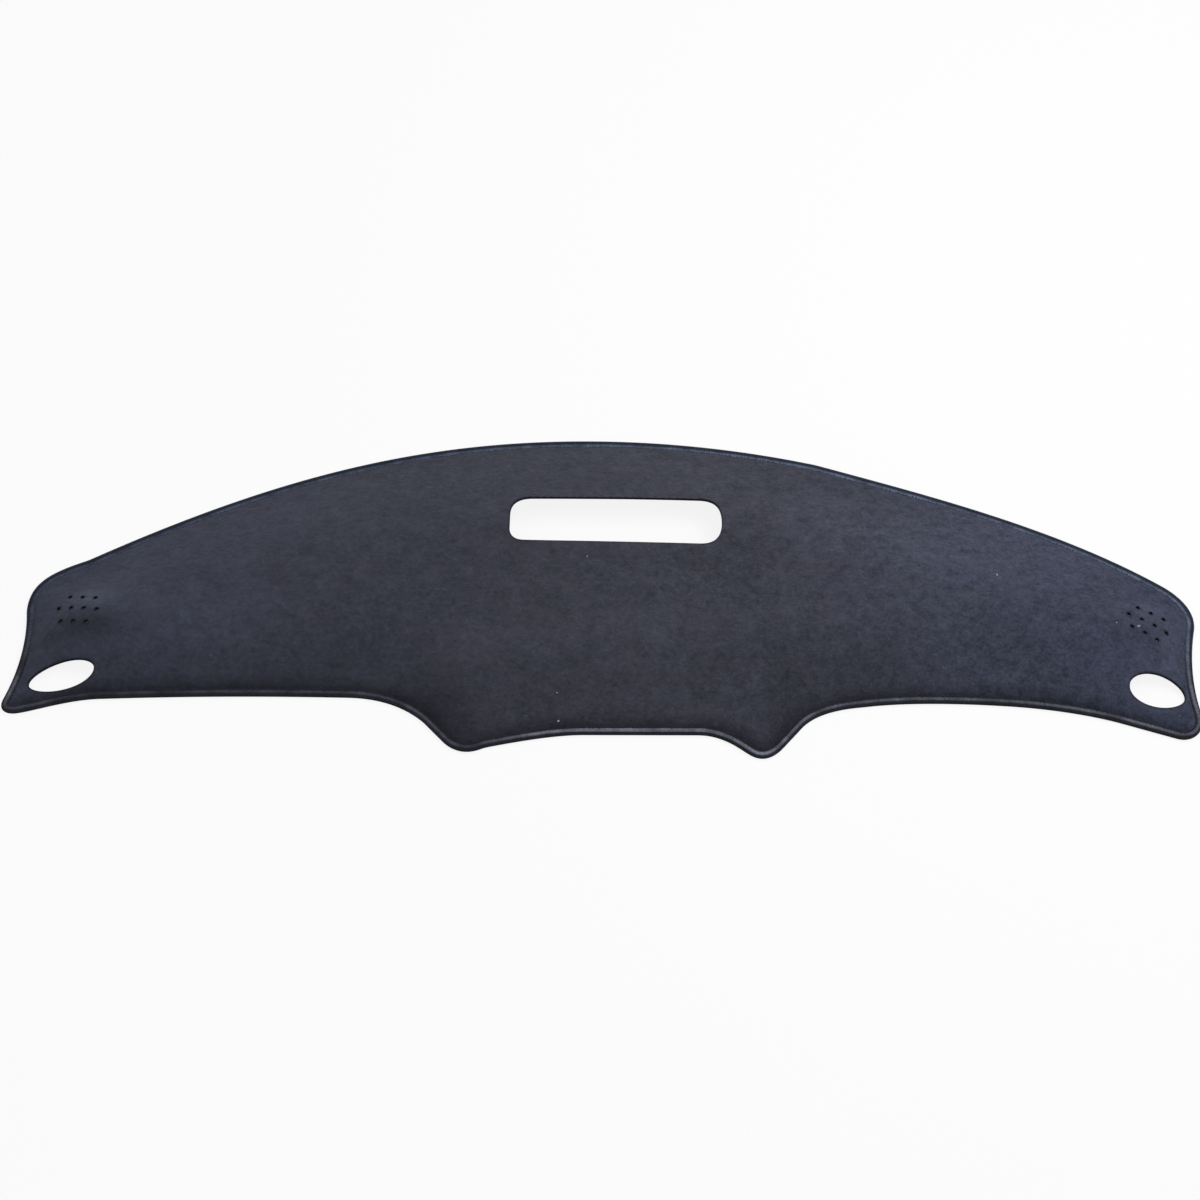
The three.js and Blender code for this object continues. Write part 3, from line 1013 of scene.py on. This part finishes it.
def felt_material(fibres, patches):
    """Soft needle felt: charcoal, bluer towards the ends, with plummier and greyer blotches, matted fibres
    and a pebbled grain; painted shade beside the front seam and the cuts, and painted light and shade in
    soft spots and in the grain's contrast to the right."""
    material, nodes, place, surface = new_material("charcoal_felt", FELT_SURFACE)
    fine = placed_group(nodes, fibres, place, *FINE)
    grain = placed_group(nodes, fibres, place, *GRAIN)
    pebble = placed_group(nodes, fibres, place, *PEBBLE)
    clumps = placed_group(nodes, patches, place, *CLUMPS)["Mask"]
    blotches = placed_group(nodes, patches, place, *BLOTCHES)["Mask"]
    broad = placed_group(nodes, patches, place, *BROAD)["Mask"]
    across = nodes.parts(place)["X"]

    tone = nodes.blend(
        (fine["Fleck"], FINE_TONE), (grain["Fleck"], GRAIN_TONE), (clumps, CLUMPS_TONE), (broad, BROAD_TONE)
    )
    tone = nodes.math("ADD", tone, TONE_LIFT)
    # The grain's tone contrast grows to the right: real pebbled grain with painted light grazing from the
    # right
    pebbles = nodes.math("SUBTRACT", pebble["Fleck"], 0.5)
    pebbles = nodes.math("MULTIPLY", pebbles, nodes.mapped(across, *PEBBLED_GRAIN_AND_GRAZING_LIGHT))
    tone = nodes.math("ADD", tone, pebbles)
    colour = nodes.mix(tone, FELT_DARK, FELT_LIGHT)
    colour = nodes.tinted(nodes.mapped(nodes.math("ABSOLUTE", across), *END_TINT[0]), colour, END_TINT[1])
    colour = nodes.tinted(nodes.mapped(across, *RIGHT_TINT[0]), colour, RIGHT_TINT[1])
    colour = nodes.tinted(nodes.math("MULTIPLY", blotches, PLUM_SHARE), colour, PLUM_TINT)
    # Painted shade beside the front seam and round the cuts and speaker holes
    shade = nodes.mapped(marked(nodes, "front_gap"), *PAINTED_SEAM_SHADE)
    shade = nodes.math("MULTIPLY", shade, nodes.mapped(marked(nodes, "cut_gap"), *PAINTED_CUT_SHADE))
    # Painted light and shade spots: shaded lobe flanks and front strips, a lit right back, and the lit and
    # shaded sides of the mounds
    for centre, reach, level in PAINTED_LIGHT_AND_SHADE_SPOTS:
        change = nodes.math("MULTIPLY", soft_spot(nodes, place, centre, reach), level - 1.0)
        shade = nodes.math("MULTIPLY", shade, nodes.math("ADD", 1.0, change))
    colour = nodes.scaled(colour, shade)
    colour = nodes.mix(nodes.mapped(fine["Fleck"], *TIP_RANGE), colour, FELT_TIP)
    roughness = nodes.mapped(tone, 0.0, 1.0, *FELT_ROUGHNESS)
    height = nodes.blend(
        (fine["Height"], FINE_HEIGHT), (grain["Height"], GRAIN_HEIGHT), (clumps, CLUMPS_HEIGHT)
    )
    finish_surface(nodes, surface, colour, roughness, nodes.bump(height, *FELT_BUMP))
    return material


# Painted shade: the cut walls take darker copies of the felt's colour
CUT_WALL_SHADE_DARK = (0.0075, 0.0078, 0.0100)
CUT_WALL_SHADE_LIGHT = (0.0180, 0.0185, 0.0240)
CUT_FIBRES = (0.0007, 1.0)
CUT_ROUGHNESS = (1.0, 0.9)
CUT_BUMP = (0.6, 0.0006)


def cut_felt_material(fibres):
    """The sheet's cut edges, painted darker than the felt as shade on the walls."""
    material, nodes, place, surface = new_material("cut_felt_painted_shade", {"Specular IOR Level": 0.1})
    fine = placed_group(nodes, fibres, place, *CUT_FIBRES)
    colour = nodes.mix(fine["Fleck"], CUT_WALL_SHADE_DARK, CUT_WALL_SHADE_LIGHT)
    roughness = nodes.mapped(fine["Fleck"], 0.0, 1.0, *CUT_ROUGHNESS)
    finish_surface(nodes, surface, colour, roughness, nodes.bump(fine["Height"], *CUT_BUMP))
    return material


YARN_DARK = (0.022, 0.024, 0.035)
YARN_PAINTED_HIGHLIGHT = (0.285, 0.295, 0.365)
YARN_PAINTED_SHADE = (0.0045, 0.0050, 0.0075)
THREAD_PAINTED_LIGHT = (0.150, 0.165, 0.220)
YARN_SURFACE = {
    "Specular IOR Level": 0.20,
    "Sheen Weight": 0.04,
    "Sheen Roughness": 0.45,
    "Sheen Tint": (0.80, 0.84, 0.95, 1.0),
}
YARN_FIBRES = (0.0005, 1.0)
YARN_WEAR = (0.02, 1.0)
FIBRE_TONE, WEAR_TONE = 0.55, 0.45
YARN_ROUGHNESS = (0.92, 0.74)
YARN_BUMP = (0.5, 0.0004)
THREAD_ROUGHNESS = (0.95, 0.80)
THREAD_BUMP = (0.4, 0.0003)
# The painted highlight along the crest of the edging: how far in it lies from the front to the middle of
# the ends, and its half width
CREST_INSET = (-0.14, 0.0, 0.0049, 0.0080)
CREST_REACH = 0.0028
CREST_TOP = (EDGING_HEIGHT * 0.50, EDGING_HEIGHT * 0.75, 0.0, 1.0)
# How strong the painted crest highlight is from left to right along X, and where it is stronger still
CREST_HIGHLIGHT_SHARE = (-0.55, 0.35, 0.13, 0.60)
CREST_HIGHLIGHT_SPOTS = [((0.055, -0.195), (0.24, 0.09), 1.7), ((-0.69, -0.150), (0.09, 0.035), 0.55)]
# Where along Y the front's look gives way to the one of the ends and the back: bluer, with a stronger
# painted crest highlight and lighter painted shade round the outer turn
BEHIND = (-0.13, -0.02, 0.0, 1.0)
BEHIND_TINT = (0.84, 1.00, 1.22)
BEHIND_CREST_HIGHLIGHT = 0.26
BEHIND_BASE = 0.5


def edging_yarn_material(fibres, patches):
    """Soft twisted yarn, with a painted highlight along the crest of the edging and painted shade round its
    outer turn.
    """
    material, nodes, place, surface = new_material("edging_yarn", YARN_SURFACE)
    fine = placed_group(nodes, fibres, place, *YARN_FIBRES)
    worn = placed_group(nodes, patches, place, *YARN_WEAR)["Mask"]
    tone = nodes.blend((fine["Fleck"], FIBRE_TONE), (worn, WEAR_TONE))
    parts = nodes.parts(place)
    behind = nodes.mapped(parts["Y"], *BEHIND)
    top = nodes.mapped(parts["Z"], *CREST_TOP)
    # Painted highlight along the crest, placed by inset and height and made stronger at the front middle
    # and behind
    middle = nodes.mapped(parts["Y"], *CREST_INSET)
    off_crest = nodes.math("ABSOLUTE", nodes.math("SUBTRACT", marked(nodes, "inset"), middle))
    crest = nodes.mapped(off_crest, CREST_REACH * 0.25, CREST_REACH, 1.0, 0.0)
    crest = nodes.math("MULTIPLY", crest, top)
    share = nodes.mapped(parts["X"], *CREST_HIGHLIGHT_SHARE)
    share = nodes.math("ADD", share, nodes.math("MULTIPLY", behind, BEHIND_CREST_HIGHLIGHT))
    for centre, reach, level in CREST_HIGHLIGHT_SPOTS:
        more = nodes.math("MULTIPLY", soft_spot(nodes, place, centre, reach), level)
        share = nodes.math("ADD", share, more)
    crest = nodes.math("MULTIPLY", crest, share)
    # Painted shade round the outer turn below the crest, lighter behind
    base = nodes.mix(top, YARN_PAINTED_SHADE, nodes.mix(tone, YARN_PAINTED_SHADE, YARN_DARK))
    base = nodes.mix(nodes.math("MULTIPLY", behind, BEHIND_BASE), base, YARN_DARK)
    colour = nodes.mix(crest, base, nodes.mix(tone, YARN_DARK, YARN_PAINTED_HIGHLIGHT))
    colour = nodes.tinted(behind, colour, BEHIND_TINT)
    roughness = nodes.mapped(tone, 0.0, 1.0, *YARN_ROUGHNESS)
    finish_surface(nodes, surface, colour, roughness, nodes.bump(fine["Height"], *YARN_BUMP))
    return material


def needle_yarn_material(fibres):
    """The yarn of the needle stitches and of the rim inside the wraps, with painted shade in front and
    painted light behind.
    """
    constants = {"Specular IOR Level": YARN_SURFACE["Specular IOR Level"]}
    material, nodes, place, surface = new_material("needle_yarn", constants)
    fine = placed_group(nodes, fibres, place, *YARN_FIBRES)
    # Painted shade on the thread in front and painted light on it behind
    dark = nodes.mix(fine["Fleck"], YARN_PAINTED_SHADE, YARN_DARK)
    light = nodes.mix(fine["Fleck"], YARN_DARK, THREAD_PAINTED_LIGHT)
    colour = nodes.mix(nodes.mapped(nodes.parts(place)["Y"], *BEHIND), dark, light)
    roughness = nodes.mapped(fine["Fleck"], 0.0, 1.0, *THREAD_ROUGHNESS)
    finish_surface(nodes, surface, colour, roughness, nodes.bump(fine["Height"], *THREAD_BUMP))
    return material


LINT_COLOUR = (0.62, 0.64, 0.68)
LINT_SHADE = (0.34, 0.36, 0.41)
LINT_TANGLE = (900.0, 2.0)


def lint_material():
    material, nodes, place, surface = new_material("pale_lint", {})
    tangle = nodes.noise(place, *LINT_TANGLE)
    nodes.join(nodes.mapped(tangle, 0.3, 0.7, 0.55, 0.95), surface.inputs["Roughness"])
    colour = nodes.mix(nodes.mapped(tangle, 0.3, 0.7, 0.0, 0.5), LINT_COLOUR, LINT_SHADE)
    nodes.join(colour, surface.inputs["Base Color"])
    return material


# Where each speck of lint lies, its size and its turn
LINT = [
    ((0.4679, 0.0159), 0.0024, 0.4),
    ((0.6323, -0.0475), 0.0034, 1.9),
    ((0.6051, -0.0467), 0.0010, 0.9),
    ((-0.0546, -0.1792), 0.0025, 2.6),
    ((-0.0565, -0.1503), 0.0009, 1.2),
    ((-0.0253, 0.0245), 0.0009, 0.1),
]
LINT_RADIUS = 0.00038
LINT_POINTS = 9


def sheet_top_at(points):
    inset = nearest(points, OUTLINE)
    return underside_at(points) + soft_waves(points, inset) + SHEET_THICKNESS - groove_at(inset)


def lint_specks():
    """Small curls of pale fibre that have settled on the felt."""
    tops = sheet_top_at(np.array([at for at, _, _ in LINT]))
    specks = []
    for ((x, y), size, turn), top in zip(LINT, tops):
        angle = turn + np.linspace(0, 1.6 * math.pi, LINT_POINTS)
        reach = size / 2 * np.linspace(0.35, 1.0, LINT_POINTS)
        lift = LINT_RADIUS * (0.9 + 0.8 * np.sin(np.linspace(0, 3 * math.pi, LINT_POINTS)))
        path = np.column_stack([x + reach * np.cos(angle), y + reach * np.sin(angle), top + lift])
        specks.append(path_tube("lint", path, LINT_RADIUS, 1))
    deselect_all()
    for speck in specks:
        speck.select_set(True)
    bpy.context.view_layer.objects.active = specks[0]
    bpy.ops.object.join()
    specks[0].name = "lint"
    shade_smooth(specks[0])
    return specks[0]


# Stage, light and camera

FLOOR_SIZE = 16.0
FLOOR_DROP = 0.0002
FLOOR_COLOUR = (0.90, 0.90, 0.90, 1.0)
# How far the floor stays white where it is seen, and how little it does under the speaker holes
FLOOR_GLOW = 0.87
HOLE_GLOW = 0.018
SHADE_REACH = (0.045, 0.060)
SHADE_SHIFT = 0.015
SKY_COLOUR = (0.97, 0.985, 1.0, 1.0)
SKY_AT_HORIZON = 0.20
SKY_OVERHEAD = 0.70


def seen_directly(nodes):
    """One where the camera, a reflection or a clear body looks straight at the surface."""
    path = nodes.add("ShaderNodeLightPath")
    seen = nodes.math("MAXIMUM", path.outputs["Is Camera Ray"], path.outputs["Is Glossy Ray"])
    return nodes.math("MAXIMUM", seen, path.outputs["Is Transmission Ray"])


def make_floor():
    deselect_all()
    bpy.ops.mesh.primitive_plane_add(size=FLOOR_SIZE, location=(0, 0, -FLOOR_DROP))
    floor = bpy.context.view_layer.objects.active
    floor.name = "floor"
    material = bpy.data.materials.new("white_floor")
    material.use_nodes = True
    material.node_tree.nodes.clear()
    nodes = Nodes(material.node_tree)
    matt = nodes.add("ShaderNodeBsdfDiffuse")
    matt.inputs["Color"].default_value = FLOOR_COLOUR
    glow = nodes.add("ShaderNodeEmission")
    share = nodes.math("MULTIPLY", seen_directly(nodes), FLOOR_GLOW)
    place = nodes.add("ShaderNodeTexCoord").outputs["Object"]
    for holes in (LEFT_HOLES, RIGHT_HOLES):
        away = nodes.add("ShaderNodeVectorMath", operation="DISTANCE")
        nodes.join(place, away.inputs[0])
        away.inputs[1].default_value = (holes["at"][0], holes["at"][1] + SHADE_SHIFT, 0)
        clear = nodes.mapped(away.outputs["Value"], *SHADE_REACH, HOLE_GLOW, 1.0)
        share = nodes.math("MULTIPLY", share, clear)
    output = nodes.add("ShaderNodeOutputMaterial")
    nodes.join(nodes.mixed_shaders(share, matt.outputs[0], glow.outputs[0]), output.inputs["Surface"])
    floor.data.materials.append(material)


def make_world():
    world = bpy.data.worlds.new("studio")
    bpy.context.scene.world = world
    world.use_nodes = True
    world.node_tree.nodes.clear()
    nodes = Nodes(world.node_tree)
    soft = nodes.add("ShaderNodeBackground")
    soft.inputs["Color"].default_value = SKY_COLOUR
    direction = nodes.parts(nodes.add("ShaderNodeTexCoord").outputs["Generated"])
    height = nodes.mapped(direction["Z"], 0.0, 1.0, SKY_AT_HORIZON, SKY_OVERHEAD)
    nodes.join(height, soft.inputs["Strength"])
    white = nodes.add("ShaderNodeBackground")
    both = nodes.mixed_shaders(seen_directly(nodes), soft.outputs[0], white.outputs[0])
    nodes.join(both, nodes.add("ShaderNodeOutputWorld").inputs["Surface"])


LAMP_AT = (1.0, 0.5, 2.0)
LAMP_SIZE = (1.4, 1.0)
LAMP_POWER = 26
LAMP_COLOUR = (1.0, 0.99, 0.98)


def make_lamp():
    data = bpy.data.lights.new("window_softbox", "AREA")
    data.shape = "RECTANGLE"
    data.size, data.size_y = LAMP_SIZE
    data.energy = LAMP_POWER
    data.color = LAMP_COLOUR
    lamp = link("window_softbox", data)
    lamp.location = LAMP_AT
    lamp.rotation_euler = (-Vector(LAMP_AT)).to_track_quat("-Z", "Y").to_euler()


VIEW_ELEVATION = math.radians(60.2)
VIEW_DISTANCE = 2.6
VIEW_ROLL = math.radians(1.27)
VIEW_TARGET = Vector((-0.0087, -0.011, 0.003))
VIEW_WIDTH = 1.452
SENSOR_WIDTH = 36.0


def make_camera():
    """The photograph's view, from the front and above, with its right side a little low."""
    data = bpy.data.cameras.new("camera")
    data.sensor_width = SENSOR_WIDTH
    data.lens = SENSOR_WIDTH * VIEW_DISTANCE / VIEW_WIDTH
    camera = link("camera", data)
    forward = Vector((0, math.cos(VIEW_ELEVATION), -math.sin(VIEW_ELEVATION)))
    level = Vector((1, 0, 0))
    upright = level.cross(forward)
    right = level * math.cos(VIEW_ROLL) + upright * math.sin(VIEW_ROLL)
    up = upright * math.cos(VIEW_ROLL) - level * math.sin(VIEW_ROLL)
    turn = Matrix((right, up, -forward)).transposed()
    camera.matrix_world = Matrix.Translation(VIEW_TARGET - forward * VIEW_DISTANCE) @ turn.to_4x4()
    bpy.context.scene.camera = camera


# Build

make_camera()
make_world()
make_floor()
make_lamp()

sheet, sheet_area = felt_sheet()
shade_smooth(sheet)
wraps = edge_wraps(OUTLINE)
core = edge_core(OUTLINE)
thread = needle_thread(OUTLINE)
lint = lint_specks()

fibres = fibre_group()
patches = patch_group()
felt = felt_material(fibres, patches)
edging_yarn = edging_yarn_material(fibres, patches)
needle_yarn = needle_yarn_material(fibres)
dressed = [
    (sheet, (felt, cut_felt_material(fibres))),
    (wraps, (edging_yarn,)),
    (core, (needle_yarn,)),
    (thread, (needle_yarn,)),
    (lint, (lint_material(),)),
]
for piece, finishes in dressed:
    for finish in finishes:
        piece.data.materials.append(finish)
    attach(piece, "root")
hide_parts("felt_mat")
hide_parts("edge_stitching")
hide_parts("edge_stitching")

bpy.context.scene.view_settings.view_transform = "Standard"
deselect_all()
